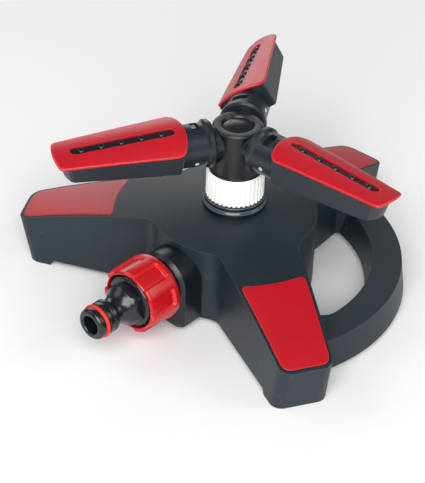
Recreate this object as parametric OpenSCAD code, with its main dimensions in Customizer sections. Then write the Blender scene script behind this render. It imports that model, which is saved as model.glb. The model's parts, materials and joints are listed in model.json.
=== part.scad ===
// Rotating lawn sprinkler: three tilting spray arms on a spinning hub over a three-legged base.
// Millimetres, +Z up. The origin is on the rotor's axis at the ground. The hose inlet points to -Y.

/* [Base] */
// distance from the middle to the outer end of a leg
leg_reach = 111; // [90:0.5:130]
// half width of a leg 60 mm from the middle
leg_half = 18; // [14:0.1:22]
// how much narrower the half width gets for each millimetre further out
leg_taper = 0.098; // [0:0.001:0.2]
// radius of the corners at a leg's end
leg_corner = 6; // [1:0.1:8]
// how far a leg's end wall leans in at the ground
leg_lean = 6.2; // [0:0.1:10]
// height of a leg's top edge at its end
leg_top = 25.4; // [15:0.1:35]
// radius of the round middle of the base
dome_r = 42.5; // [30:0.5:60]
// radius of the fillets between the middle and the legs
dome_fillet = 8; // [2:0.5:15]
// radius of the arc that crowns the top
crown_r = 443.3; // [200:0.1:600]
// the crown arc's centre, outward from the axis
crown_x = -33.3; // [-60:0.1:0]
// the crown arc's centre, height
crown_z = -393.7; // [-600:0.1:-100]
// wall thickness of the base moulding
base_wall = 2.4; // [1.5:0.1:4]
// height of the skirt's lower edge above the ground
skirt_z = 3; // [0:0.1:6]
// distance out to the inner side of the feet
foot_start = 92; // [80:0.5:105]

// distance from the middle to the inner arc and to the outer end of a red plate
badge_in = 61.1; // [56:0.1:70]
badge_out = 109.2; // [100:0.1:110]
// width of the dark border beside a red plate
badge_border = 1.5; // [1:0.1:3]

/* [Handle] */
// outer radius of the handle ring at the top and at the bottom
handle_out_top = 87.5; // [70:0.1:100]
handle_out_low = 89.8; // [70:0.1:100]
// inner radius of the handle ring at the top and at the bottom
handle_in_top = 72.4; // [60:0.1:85]
handle_in_low = 69.6; // [60:0.1:85]
// height of the handle's top
handle_top = 18.6; // [10:0.1:30]

/* [Inlet] */
// height of the hose inlet's axis
inlet_z = 24.9; // [18:0.1:35]
// half width of the boss around the inlet
boss_r = 15.2; // [12:0.1:20]
// distance out to the boss's front face
boss_front = 54; // [45:0.1:65]
// radius over the inlet's male thread
thread_r = 13.1; // [10:0.05:16]
// distance out to the end of the male thread
thread_end = 66.5; // [60:0.1:75]
// largest radius of the union nut
nut_r = 17.4; // [15:0.1:22]
// distance out to the nut's rear rim and front face
nut_rear = 57.5; // [55:0.1:65]
nut_front = 76; // [70:0.1:85]
// number of recessed grip panels around the nut
nut_panels = 7; // [5:1:12]
// depth of the grip panels
panel_depth = 1.5; // [0.5:0.1:2]
// radius of the nipple's nose
nose_r = 8.1; // [7:0.05:9]
// radius of the nipple's water bore
nipple_bore = 4.7; // [3:0.05:6]
// distance out to the tip of the nipple
nipple_tip = 102; // [90:0.1:115]

/* [Rotor] */
// turning angle of the arms, measured at the right-hand arm
rotor_angle = 0.9; // [-180:0.1:180]
// height of the arm axes
arm_z = 84.4; // [75:0.1:95]
// height of the top of the hub
hub_top = 92.7; // [85:0.1:100]
// radius of the hub column
hub_r = 12.6; // [10:0.05:16]
// radius of the pipe stubs that carry the arms
stub_r = 8.2; // [6:0.05:10]
// outer radius of the white lock ring
ring_r = 14.7; // [12:0.05:18]
// height of the lock ring's lower and upper edge
ring_low = 52.9; // [48:0.1:58]
ring_top = 67.5; // [60:0.1:72]
// number of grip flutes on the lock ring
ring_flutes = 36; // [20:1:60]

/* [Arms] */
// tilt of the left, back and right arm about its own axis
tilt_left = 11; // [0:0.5:45]
tilt_back = 38; // [0:0.5:45]
tilt_right = 5; // [0:0.5:45]
// distance out to the corners at the two ends of an arm's red cover
cover_start = 31.7; // [29:0.1:36]
cover_end = 91.8; // [80:0.1:100]
// how far the middle of the cover's hub end and of its tip stands out past the corners
cover_bulge_hub = 3.8; // [0:0.1:4]
cover_bulge_tip = 1.8; // [0:0.1:4]
// half width of the cover at its two ends
cover_half_hub = 15.2; // [12:0.1:18]
cover_half_tip = 9.7; // [7:0.1:13]
// radius of the cover's barrel shape
barrel_r = 31; // [24:0.5:40]
// height of the cover's ridge above the arm axis at its two ends
ridge_hub = 11.5; // [10:0.1:14]
ridge_tip = 7.8; // [7:0.1:12]
// cover thickness
cover_t = 1.5; // [1:0.1:3]
// distance out to the first nozzle, and the step from one nozzle to the next
nozzle_first = 39.8; // [34:0.1:46]
nozzle_step = 9.95; // [8:0.05:12]
// number of nozzles in an arm
nozzle_count = 5; // [3:1:7]

/* [Hidden] */
$fn = 96;
leg_angles = [210, 330, 90];
// lock ring, stem and riser levels
riser_r = 12;
riser_top = 59.6;
stem_r = 9;
stem_fit = 0.08;
stem_low = 32;
flange_low = 60.6;
flange_top = 62.4;
lip_low = 62.8;
lip_top = 65.8;
hub_low = 66.2;
cap_r = 7.6;
// arm axes around the hub: left, back and right
arm_angles = [rotor_angle + 240, rotor_angle + 120, rotor_angle];
arm_tilts = [tilt_left, tilt_back, tilt_right];
neck_r = 10.7;
collar_start = 14;
neck_end = 34;
ridge_slope = atan((ridge_hub - ridge_tip) / (cover_end - cover_start));
// places around the neck of the latch window and of the two pins, in degrees from the nozzle side
latch_turn = 20;
pin_turns = [-108, 108];
pin_at = 23.7;
strip_start = 33.2;
strip_end = 85;

// ---------- helpers ----------
function leg_w(s) = leg_half - leg_taper * (s - 60);
function badge_w(s) = leg_w(s) - badge_border;
phi = atan(leg_taper);
// a cylinder along the inlet axis, from distance d0 to d1
module along_inlet(d0, d1, r1, r2) {
    translate([0, -d0, inlet_z]) rotate([90, 0, 0]) cylinder(h = d1 - d0, r1 = r1, r2 = r2);
}
// a cylinder along an arm's own axis
module along_arm(s0, s1, r1, r2) {
    translate([s0, 0, 0]) rotate([0, 90, 0]) cylinder(h = s1 - s0, r1 = r1, r2 = r2);
}
// puts a shape drawn along +X into an arm's place
module arm_place(k) {
    rotate([0, 0, arm_angles[k]]) translate([0, 0, arm_z]) rotate([-arm_tilts[k], 0, 0]) children();
}
module torus(major, minor) {
    rotate_extrude() translate([major, 0]) circle(r = minor);
}

// ---------- base ----------
module crown(drop) {
    rotate_extrude() union() {
        intersection() {
            translate([crown_x, crown_z - drop]) circle(r = crown_r, $fn = 720);
            translate([14, 0]) square([116, 70]);
        }
        square([14.5, 46.5 - drop]);
    }
}
// one leg seen from above, drawn along +X; all its sides moved in by i
module leg_plan(i, reach) {
    rc = leg_corner - i;
    L = reach - i;
    cx = L - rc;
    cy = (leg_w(cx) - i / cos(phi)) - rc / cos(phi);
    w0 = leg_w(20) - i / cos(phi);
    n = 5;
    a1 = 90 - phi;
    up = [for (t = [0:n]) [cx + rc * cos(a1 * (1 - t / n)), cy + rc * sin(a1 * (1 - t / n))]];
    dn = [for (t = [0:n]) [cx + rc * cos(a1 * t / n), -cy - rc * sin(a1 * t / n)]];
    polygon(concat([[20, -w0], [20, w0]], up, dn));
}
// the fillet between the round middle and one side of a leg
module fillet_plan(i) {
    rf = dome_fillet + i;
    q = leg_half + 60 * leg_taper - i / cos(phi) + rf / cos(phi);
    R = dome_r - i + rf;
    A = 1 + leg_taper * leg_taper;
    B = -2 * leg_taper * q;
    s = (-B + sqrt(B * B - 4 * A * (q * q - R * R))) / (2 * A);
    w = q - leg_taper * s;
    g1 = 180 + atan2(w, s);
    g2 = 270 - phi;
    n = 3;
    mids = [for (t = [1:n - 1]) [s + rf * cos(g1 + (g2 - g1) * t / n), w + rf * sin(g1 + (g2 - g1) * t / n)]];
    first = [(dome_r - i - 0.6) * s / R, (dome_r - i - 0.6) * w / R];
    last = [s - rf * sin(phi), w - rf * cos(phi) - 0.6];
    polygon(concat([first], mids, [last, [30, 10]]));
}
module legs(i, z0, h) {
    for (a = leg_angles) rotate([0, 0, a]) difference() {
        union() {
            // the end wall leans in towards the ground, and its corners keep their radius
            hull() {
                translate([0, 0, z0]) linear_extrude(0.02)
                    leg_plan(i, leg_reach - leg_lean * (1 - z0 / leg_top));
                translate([0, 0, 56]) linear_extrude(0.02)
                    leg_plan(i, leg_reach - leg_lean * (1 - 56 / leg_top));
            }
            translate([0, 0, z0]) linear_extrude(h) {
                fillet_plan(i);
                mirror([0, 1, 0]) fillet_plan(i);
            }
        }
        // the skirt stops short of the ground except at the foot
        if (z0 < skirt_z) translate([-1, -40, z0 - 5]) cube([foot_start + 1, 80, skirt_z - z0 + 5]);
    }
}
// handle ring, drawn as a full turn
module handle_ring(i) {
    rotate_extrude() polygon([
        [handle_in_low + i, i > 0 ? -1 : skirt_z], [handle_out_low - i, i > 0 ? -1 : skirt_z],
        [handle_out_top - i, handle_top - i], [handle_in_top + i, handle_top - i]]);
}
module handle_sector(a0, a1) {
    linear_extrude(60) polygon([[0, 0], [140 * cos(a0), 140 * sin(a0)], [170 * cos(30), 170 * sin(30)],
        [140 * cos(a1), 140 * sin(a1)]]);
}
module boss_outer() {
    along_inlet(25, boss_front - 2.5, boss_r, boss_r);
    along_inlet(boss_front - 2.5, boss_front, boss_r, boss_r - 2.5);
    translate([0, 0, skirt_z]) linear_extrude(inlet_z - skirt_z) polygon([
        [-boss_r, -25], [-boss_r, 2.5 - boss_front], [2.5 - boss_r, -boss_front],
        [boss_r - 2.5, -boss_front], [boss_r, 2.5 - boss_front], [boss_r, -25]]);
}
// half of a red plate's outline, from the inner arc round to the outer end; moved in by i
function bend(a, c, b) =
    [for (t = [0:4]) let (u = t / 4) a * (1 - u) * (1 - u) + c * 2 * u * (1 - u) + b * u * u];
function badge_half(i) =
    let (r0 = badge_in + i, r1 = badge_out - i, w0 = badge_w(r0 - 2) - i, s0 = sqrt(r0 * r0 - w0 * w0),
        a0 = atan2(w0, s0) - 2.6, w1 = badge_w(r1) - i)
    concat([for (t = [1:4]) let (a = a0 * t / 5) [r0 * cos(a), r0 * sin(a)]],
        bend([r0 * cos(a0), r0 * sin(a0)], [s0, w0], [s0 + 3, badge_w(s0 + 3) - i]),
        bend([r1 - 5, badge_w(r1 - 5) - i], [r1, w1], [r1, w1 - 5]));
module badge_plan(i) {
    half = badge_half(i);
    polygon(concat(half, [for (t = [len(half) - 1:-1:0]) [half[t][0], -half[t][1]]], [[badge_in + i, 0]]));
}
module base_shell() {
    color([0.16, 0.19, 0.21]) difference() {
        intersection() {
            union() {
                translate([0, 0, skirt_z]) cylinder(h = 60, r = dome_r);
                legs(0, 0, 60);
                boss_outer();
            }
            crown(0);
        }
        // hollow inside of the middle and the legs
        intersection() {
            union() {
                translate([0, 0, -1]) cylinder(h = 60, r = dome_r - base_wall);
                legs(base_wall, -1, 60);
            }
            crown(base_wall);
        }
        // inlet boss: round tunnel with an open lower side behind a solid front wall
        along_inlet(25, boss_front + 1, thread_r + 0.3, thread_r + 0.3);
        translate([-13, 4.5 - boss_front, -1]) cube([26, 20, inlet_z + 1]);
        // riser hole and collar seat
        translate([0, 0, 20]) cylinder(h = 40, r = riser_r + 0.3);
        translate([0, 0, 46.2]) cylinder(h = 10, r = 16.4);
        // shallow pockets for the red plates
        for (a = leg_angles) rotate([0, 0, a]) intersection() {
            translate([0, 0, 20]) linear_extrude(40) badge_plan(-0.3);
            difference() {
                translate([0, 0, 10]) cylinder(h = 60, r = 130);
                crown(1.2);
            }
        }
    }
    // pillars that take the elbow's screws
    color([0.16, 0.19, 0.21]) for (a = [45, 135, 225, 315]) rotate([0, 0, a]) intersection() {
        difference() {
            translate([24, 0, 30]) cylinder(h = 20, r = 3.4);
            translate([24, 0, 29]) cylinder(h = 9, r = 1.3);
        }
        crown(1);
    }
}
// the fillet between a leg's side and the handle's inner wall, drawn beside a leg along +X
module handle_fillet() {
    rf = 5;
    R = handle_in_top - rf;
    q = leg_half + 60 * leg_taper + rf / cos(phi);
    A = 1 + leg_taper * leg_taper;
    B = -2 * leg_taper * q;
    s = (-B + sqrt(B * B - 4 * A * (q * q - R * R))) / (2 * A);
    w = q - leg_taper * s;
    g1 = atan2(w, s);
    g2 = -90 - phi;
    n = 4;
    mids = [for (t = [1:n - 1]) [s + rf * cos(g1 + (g2 - g1) * t / n), w + rf * sin(g1 + (g2 - g1) * t / n)]];
    first = [(handle_in_top + 0.6) * s / R, (handle_in_top + 0.6) * w / R];
    last = [s - rf * sin(phi), w - rf * cos(phi) - 0.6];
    corner = [handle_in_top + 1, leg_w(handle_in_top) - 0.6];
    translate([0, 0, skirt_z + 0.3]) linear_extrude(handle_top - skirt_z - 0.6)
        polygon(concat([first], mids, [last, corner]));
}
// hollow ring sector between the front and the back leg, ending flush at their side walls
module carry_handle() {
    color([0.16, 0.19, 0.21]) difference() {
        union() {
            difference() {
                intersection() {
                    handle_ring(0);
                    translate([0, 0, -1]) handle_sector(-24, 84);
                }
                handle_ring(base_wall);
            }
            rotate([0, 0, 330]) handle_fillet();
            rotate([0, 0, 90]) mirror([0, 1, 0]) handle_fillet();
        }
        for (a = [330, 90]) rotate([0, 0, a]) translate([0, 0, -1]) linear_extrude(60)
            polygon([[20, -leg_w(20)], [125, -leg_w(125)], [125, leg_w(125)], [20, leg_w(20)]]);
    }
}
module leg_badge(k) {
    color([0.72, 0.1, 0.13]) rotate([0, 0, leg_angles[k]]) intersection() {
        translate([0, 0, 20]) linear_extrude(40) badge_plan(0);
        difference() {
            crown(-0.25);
            crown(1.15);
        }
    }
}

// ---------- water way ----------
module water_elbow() {
    color([0.1, 0.12, 0.13]) difference() {
        union() {
            along_inlet(0, 44, 9.4, 9.4);
            along_inlet(40, thread_end, thread_r, thread_r);
            along_inlet(33.5, 36.5, 15, 15);
            translate([0, 0, inlet_z - 10.4]) cylinder(h = riser_top - inlet_z + 10.4, r = riser_r);
            // flange plate under the crown, with four ears for screws
            translate([0, 0, 27]) cylinder(h = 2.6, r = 19);
            for (a = [45, 135, 225, 315]) rotate([0, 0, a]) {
                translate([24, 0, 27]) cylinder(h = 2.6, r = 4.2);
                translate([12, -3.5, 27.2]) cube([12, 7, 2.2]);
            }
        }
        along_inlet(-7.5, 80, 6.9, 6.9);
        along_inlet(56, 80, 9.6, 9.6);
        translate([0, 0, inlet_z]) cylinder(h = 40, r = 6.4);
        translate([0, 0, stem_low - 1]) cylinder(h = 40, r = stem_r + stem_fit);
        for (a = [45, 135, 225, 315]) rotate([0, 0, a])
            translate([24, 0, 20]) cylinder(h = 20, r = 1.7);
    }
}
module elbow_screws() {
    color([0.7, 0.71, 0.72]) for (a = [45, 135, 225, 315]) rotate([0, 0, a]) {
        difference() {
            translate([24, 0, 25]) cylinder(h = 2, r = 3);
            translate([23.6, -2, 24]) cube([0.8, 4, 2]);
            translate([22, -0.4, 24]) cube([4, 0.8, 2]);
        }
        translate([24, 0, 27]) cylinder(h = 10, r = 1.3);
    }
}
module riser_collar() {
    color([0.09, 0.1, 0.11]) difference() {
        union() {
            translate([0, 0, 46.2]) cylinder(h = 3.2, r = 16.2);
            translate([0, 0, 49.4]) cylinder(h = 0.8, r1 = 16.2, r2 = 15.4);
            translate([0, 0, 50.2]) cylinder(h = 2.3, r = 15.4);
        }
        translate([0, 0, 40]) cylinder(h = 20, r = riser_r + 0.02);
    }
}
module lock_ring() {
    color([0.93, 0.92, 0.87]) difference() {
        union() {
            translate([0, 0, ring_low + 1]) cylinder(h = ring_top - ring_low - 1.6, r = ring_r - 0.5);
            translate([0, 0, ring_top - 0.6]) cylinder(h = 0.6, r1 = ring_r - 0.5, r2 = ring_r - 1);
            for (i = [0:ring_flutes - 1]) rotate([0, 0, i * 360 / ring_flutes])
                translate([ring_r - 0.9, 0, ring_low])
                    cylinder(h = ring_top - ring_low - 0.6, r = 0.9, $fn = 16);
            translate([0, 0, ring_low]) cylinder(h = 1.1, r = ring_r - 0.9);
        }
        translate([0, 0, ring_low - 1]) cylinder(h = lip_low - ring_low + 1, r = riser_r + 0.1);
        translate([0, 0, 50]) cylinder(h = 30, r = stem_r + 1.2);
        translate([0, 0, lip_top]) cylinder(h = 5, r = 13.5);
    }
}
module bearing_washer() {
    color([0.85, 0.84, 0.78]) translate([0, 0, riser_top + 0.05]) difference() {
        cylinder(h = 0.8, r = 11.6);
        translate([0, 0, -1]) cylinder(h = 3, r = stem_r + 0.1);
    }
}
module rotor_stem() {
    color([0.75, 0.76, 0.74]) difference() {
        union() {
            translate([0, 0, stem_low]) cylinder(h = 78 - stem_low, r = stem_r);
            translate([0, 0, flange_low]) cylinder(h = flange_top - flange_low, r = 11.7);
        }
        translate([0, 0, stem_low - 1]) cylinder(h = 60, r = 5.8);
        for (z = [37, 45]) translate([0, 0, z]) difference() {
            cylinder(h = 2.2, r = stem_r + 2);
            translate([0, 0, -1]) cylinder(h = 5, r = 7.2);
        }
    }
}
module stem_seals() {
    color([0.08, 0.08, 0.08]) for (z = [38.1, 46.1]) translate([0, 0, z]) torus(8.13, 0.9);
}

// ---------- rotor ----------
module rotor_hub() {
    color([0.13, 0.15, 0.17]) difference() {
        union() {
            translate([0, 0, hub_low]) cylinder(h = 2, r = 13.1);
            translate([0, 0, hub_low + 2]) cylinder(h = hub_top - hub_low - 2.8, r = hub_r);
            translate([0, 0, hub_top - 0.8]) cylinder(h = 0.8, r1 = hub_r, r2 = hub_r - 0.8);
            for (a = arm_angles) rotate([0, 0, a]) translate([0, 0, arm_z])
                along_arm(0, 30.4, stub_r, stub_r);
        }
        translate([0, 0, hub_low - 1]) cylinder(h = 79 - hub_low, r = stem_r);
        translate([0, 0, 76]) cylinder(h = 14, r = 6.8);
        translate([0, 0, 89.2]) cylinder(h = 5, r = cap_r);
        // sloping step down to the cap
        translate([0, 0, hub_top - 0.9]) cylinder(h = 1.4, r1 = cap_r, r2 = cap_r + 1.4);
        for (a = arm_angles) rotate([0, 0, a]) translate([0, 0, arm_z]) {
            along_arm(0, 40, 5, 5);
            difference() {
                along_arm(20.4, 24.6, 12, 12);
                along_arm(20, 25, 7.3, 7.3);
            }
            difference() {
                along_arm(26.7, 29, 12, 12);
                along_arm(26, 30, 6.4, 6.4);
            }
        }
    }
}
module hub_cap() {
    color([0.1, 0.12, 0.13]) difference() {
        union() {
            translate([0, 0, 89.2]) cylinder(h = 2.4, r = cap_r);
            intersection() {
                translate([0, 0, 76.6]) sphere(r = 16.8);
                translate([0, 0, 91.2]) cylinder(h = 4, r = cap_r);
            }
        }
        for (a = [71, 191, 311]) rotate([0, 0, a]) translate([4, 0, 92]) cylinder(h = 4, r = 0.5, $fn = 24);
    }
}
module arm_seals() {
    color([0.08, 0.08, 0.08]) for (a = arm_angles) rotate([0, 0, a]) translate([27.85, 0, arm_z])
        rotate([0, 90, 0]) torus(7.33, 0.9);
}

// ---------- arms, drawn along +X with the nozzles to +Z ----------
// puts a shape whose own z = 0 lies on the cover's sloping ridge line into the arm
module on_ridge() {
    translate([cover_start, 0, ridge_hub]) rotate([0, ridge_slope, 0])
        translate([-cover_start, 0, 0]) children();
}
module barrel(drop, s0, s1) {
    on_ridge() translate([s0, 0, -barrel_r]) rotate([0, 90, 0])
        cylinder(h = s1 - s0, r = barrel_r - drop, $fn = 180);
}
function cover_half(s) = cover_half_hub
    + (cover_half_tip - cover_half_hub) * (s - cover_start) / (cover_end - cover_start);
// a convex end from corner to corner, with the corners rounded over the length c; side is -1 at the hub
function cover_edge(side, s, half, bulge, c) =
    let (q0 = 1 - c / half, y0 = half * q0, x0 = s + side * bulge * (1 - q0 * q0),
        x1 = s - side * c, y1 = cover_half(x1))
    concat([for (t = [0:3]) let (u = t / 4) [
            x1 * (1 - u) * (1 - u) + s * 2 * u * (1 - u) + x0 * u * u,
            -y1 * (1 - u) * (1 - u) - half * 2 * u * (1 - u) - y0 * u * u]],
        [for (t = [0:10]) let (q = q0 * (t / 5 - 1)) [s + side * bulge * (1 - q * q), half * q]],
        [for (t = [1:4]) let (u = t / 4) [
            x0 * (1 - u) * (1 - u) + s * 2 * u * (1 - u) + x1 * u * u,
            y0 * (1 - u) * (1 - u) + half * 2 * u * (1 - u) + y1 * u * u]]);
function turned(points) = [for (i = [len(points) - 1:-1:0]) points[i]];
module cover_plan() {
    polygon(concat(cover_edge(1, cover_end, cover_half_tip, cover_bulge_tip, 1.8),
        turned(cover_edge(-1, cover_start, cover_half_hub, cover_bulge_hub, 3.6))));
}
module slot_bar(s0, s1, half, z0, z1) {
    translate([0, 0, z0]) {
        translate([s0 + half, 0, 0]) cylinder(h = z1 - z0, r = half);
        translate([s1 - half, 0, 0]) cylinder(h = z1 - z0, r = half);
        translate([s0 + half, -half, 0]) cube([s1 - s0 - 2 * half, 2 * half, z1 - z0]);
    }
}
// one level of the box seen from above; its tip is a flat arc with rounded corners
module box_plan(s0, s1, half_hub, half_tip) {
    linear_extrude(0.02) polygon(concat([[s0, half_hub - 0.6], [s0, 0.6 - half_hub], [s0 + 0.6, -half_hub],
        [s1 - 2.6, -half_tip], [s1 - 0.8, 0.9 - half_tip]],
        [for (q = [-2:2]) [s1 + 1.6 * (1 - q * q / 4), q * (half_tip - 2.4) / 2]],
        [[s1 - 0.8, half_tip - 0.9], [s1 - 2.6, half_tip], [s0 + 0.6, half_hub]]));
}
// box under the cover: its floor rises and its sides come together towards the tip; moved in by i
module arm_box(i) {
    hull() {
        translate([31.9, 0, i - 5.9]) rotate([0, -1.4, 0]) translate([-31.9, 0, 0])
            box_plan(31.9 + i, 86.6 - i, 13 - i, 8.5 - i);
        translate([0, 0, 16]) box_plan(31.3 + i, 91 - i, 14.7 - i, 9.6 - i);
    }
}
module arm_body(k) {
    color([0.15, 0.17, 0.19]) arm_place(k) difference() {
        union() {
            intersection() {
                union() {
                    arm_box(0);
                    along_arm(27, neck_end, neck_r, neck_r);
                }
                barrel(cover_t + 0.05, 20, 100);
            }
            along_arm(collar_start, 27.4, neck_r, neck_r);
            along_arm(collar_start, collar_start + 1, 11, 12);
            along_arm(collar_start + 1, collar_start + 3, 12, 12);
            along_arm(collar_start + 3, collar_start + 4.2, 12, neck_r);
        }
        // bearing for the stub, water way and the chamber under the nozzles
        along_arm(0, 31.2, stub_r + 0.08, stub_r + 0.08);
        along_arm(30, 40, 6, 6);
        intersection() {
            arm_box(2);
            translate([neck_end, -20, -20]) cube([51, 40, 23]);
        }
        // pocket of the nozzle strip
        on_ridge() slot_bar(strip_start - 0.05, strip_end + 0.05, 2.55, -5.4, 6);
        // feed holes below the nozzles
        on_ridge() for (i = [0:nozzle_count - 1])
            translate([nozzle_first + i * nozzle_step, 0, -9]) cylinder(h = 9, r = 1, $fn = 24);
        // window of the latch and the holes of the two pins
        rotate([latch_turn, 0, 0]) translate([20.6, -4.1, 0]) cube([3.8, 8.2, 20]);
        for (a = pin_turns) translate([pin_at, 0, 0]) rotate([a, 0, 0]) cylinder(h = 20, r = 1, $fn = 32);
    }
}
module arm_cover(k) {
    color([0.76, 0.1, 0.14]) arm_place(k) difference() {
        intersection() {
            barrel(0, 24, 98);
            linear_extrude(20) cover_plan();
        }
        barrel(cover_t, 20, 100);
        on_ridge() slot_bar(strip_start - 0.05, strip_end + 0.05, 2.55, -5, 6);
    }
}
module nozzle_strip(k) {
    color([0.13, 0.15, 0.16]) arm_place(k) on_ridge() difference() {
        union() {
            slot_bar(strip_start, strip_end, 2.5, -5.3, -1.1);
            for (i = [0:nozzle_count - 1]) translate([nozzle_first + i * nozzle_step, 0, -1.2])
                cylinder(h = 0.8, r1 = 1.9, r2 = 1.4, $fn = 32);
        }
        for (i = [0:nozzle_count - 1])
            translate([nozzle_first + i * nozzle_step, 0, -8]) cylinder(h = 10, r = 0.6, $fn = 24);
    }
}
module arm_latch(k) {
    color([0.08, 0.09, 0.1]) arm_place(k) rotate([latch_turn, 0, 0]) difference() {
        translate([20.75, -3.9, 0]) cube([3.5, 5.4, 9.3]);
        along_arm(15, 30, 7.6, 7.6);
    }
}
module arm_pins(k) {
    color([0.8, 0.8, 0.8]) arm_place(k) for (a = pin_turns)
        translate([pin_at, 0, 0]) rotate([a, 0, 0]) translate([0, 0, 8.4])
            cylinder(h = 2.45, r = 1, $fn = 32);
}

// ---------- inlet ----------
module inlet_nipple() {
    color([0.1, 0.12, 0.13]) translate([0, 0, inlet_z]) rotate([90, 0, 0]) difference() {
        union() {
            translate([0, 0, 68.2]) cylinder(h = 3, r = 15);
            translate([0, 0, 71.2]) cylinder(h = 2.6, r = 14.1);
            translate([0, 0, 73.8]) cylinder(h = 1, r = 13.2);
            translate([0, 0, 74.8]) cylinder(h = 1.4, r1 = 13.6, r2 = 12.4);
            intersection() {
                translate([0, 0, 76.2]) cylinder(h = 5.2, r1 = 12.6, r2 = 10.6);
                translate([0, 0, 76.2]) rotate([0, 0, 20]) cylinder(h = 5.2, r = 11.6, $fn = 6);
            }
            translate([0, 0, 76.2]) cylinder(h = 5.2, r = 9.6);
            translate([0, 0, 81.4]) cylinder(h = 5, r1 = 9.6, r2 = 6.9);
            translate([0, 0, 86.4]) cylinder(h = 9.4, r = 6.9);
            translate([0, 0, 89.4]) cylinder(h = 1.2, r1 = 7.2, r2 = 8.4);
            translate([0, 0, 90.6]) cylinder(h = 5.2, r = 8.4);
            translate([0, 0, 95.8]) cylinder(h = 2.6, r = 6.65);
            translate([0, 0, 98.4]) cylinder(h = nipple_tip - 100, r = nose_r);
            translate([0, 0, nipple_tip - 1.6]) cylinder(h = 1.6, r1 = nose_r, r2 = nose_r - 1.6);
        }
        translate([0, 0, 60]) cylinder(h = 60, r = nipple_bore);
        translate([0, 0, 60]) cylinder(h = 16, r = 8.6);
    }
}
module nipple_oring() {
    color([0.85, 0.2, 0.13]) along_inlet_ring(97.1, 7.72, 1.03);
}
module along_inlet_ring(d, major, minor) {
    translate([0, -d, inlet_z]) rotate([90, 0, 0]) torus(major, minor);
}
module union_nut() {
    color([0.78, 0.1, 0.13]) translate([0, 0, inlet_z]) rotate([90, 0, 0]) difference() {
        union() {
            translate([0, 0, nut_rear]) cylinder(h = 1, r1 = nut_r - 0.8, r2 = nut_r);
            translate([0, 0, nut_rear + 1]) cylinder(h = 13.5, r = nut_r);
            translate([0, 0, nut_rear + 14.5])
                cylinder(h = nut_front - nut_rear - 14.5, r1 = nut_r, r2 = nut_r - 1.4);
        }
        translate([0, 0, nut_rear - 1]) cylinder(h = 71.5 - nut_rear + 1, r = 15.2);
        translate([0, 0, 60]) cylinder(h = 40, r = 14.6);
        // recessed grip panels
        for (i = [0:nut_panels - 1]) rotate([0, 0, i * 360 / nut_panels + 12])
            translate([nut_r - panel_depth, 0, nut_rear + 3]) rotate([90, 0, 90]) linear_extrude(5)
                polygon([[-4.9, 1.5], [-4.5, 0.4], [-3.4, 0], [3.4, 0],
                    [4.5, 0.4], [4.9, 1.5], [4.9, 30], [-4.9, 30]]);
    }
    // female thread land
    color([0.78, 0.1, 0.13]) translate([0, 0, inlet_z]) rotate([90, 0, 0])
        translate([0, 0, nut_rear + 1]) difference() {
            cylinder(h = 8.5, r = 15.4);
            translate([0, 0, -1]) cylinder(h = 12, r = thread_r + 0.08);
        }
}
module inlet_washer() {
    color([0.1, 0.1, 0.1]) difference() {
        along_inlet(thread_end + 0.05, thread_end + 1.65, 13, 13);
        along_inlet(thread_end - 1, thread_end + 3, 9, 9);
    }
}
module filter_screen() {
    color([0.75, 0.75, 0.72]) translate([0, 0, inlet_z]) rotate([90, 0, 0]) difference() {
        union() {
            translate([0, 0, 66.6]) cylinder(h = 1.4, r = 8.9);
            translate([0, 0, 68]) cylinder(h = 7, r = 8.4);
        }
        translate([0, 0, 66]) cylinder(h = 8.2, r = 7.4);
        for (i = [-3:3]) translate([i * 2 - 0.5, -5.5, 60]) cube([1, 11, 30]);
    }
}

base_shell();
carry_handle();
leg_badge(0);  // leg_badge_left
leg_badge(1);  // leg_badge_front
leg_badge(2);  // leg_badge_back
water_elbow();
elbow_screws();
riser_collar();
lock_ring();
bearing_washer();
rotor_stem();
stem_seals();
rotor_hub();
hub_cap();
arm_seals();
arm_body(0);  // arm_body_left
arm_cover(0);  // arm_cover_left
nozzle_strip(0);  // nozzle_strip_left
arm_latch(0);  // arm_latch_left
arm_pins(0);  // arm_pins_left
arm_body(1);  // arm_body_back
arm_cover(1);  // arm_cover_back
nozzle_strip(1);  // nozzle_strip_back
arm_latch(1);  // arm_latch_back
arm_pins(1);  // arm_pins_back
arm_body(2);  // arm_body_right
arm_cover(2);  // arm_cover_right
nozzle_strip(2);  // nozzle_strip_right
arm_latch(2);  // arm_latch_right
arm_pins(2);  // arm_pins_right
inlet_nipple();
nipple_oring();
union_nut();
inlet_washer();
filter_screen();
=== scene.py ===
# %% [markdown]
# # A rotating lawn sprinkler
# The object is a moulded plastic lawn sprinkler: a three-legged base with a carrying handle, a hose inlet
# with a screwed union nut, and a hub that spins three tilting spray arms. Its working parts come ready-made
# as an exact frame, in which every edge is sharp. Here the shown mouldings get the soft edges that a real
# mould leaves. Some are rounded copies of the frame's pieces. Others are drawn anew to the same sizes,
# because their frame meshes would not round cleanly. Then every surface gets a finish of its own: grained,
# satin or polished plastic, rubber, or steel.

import json
import math

import bmesh
import bpy
from mathutils import Matrix, Vector
from mathutils.bvhtree import BVHTree


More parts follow.
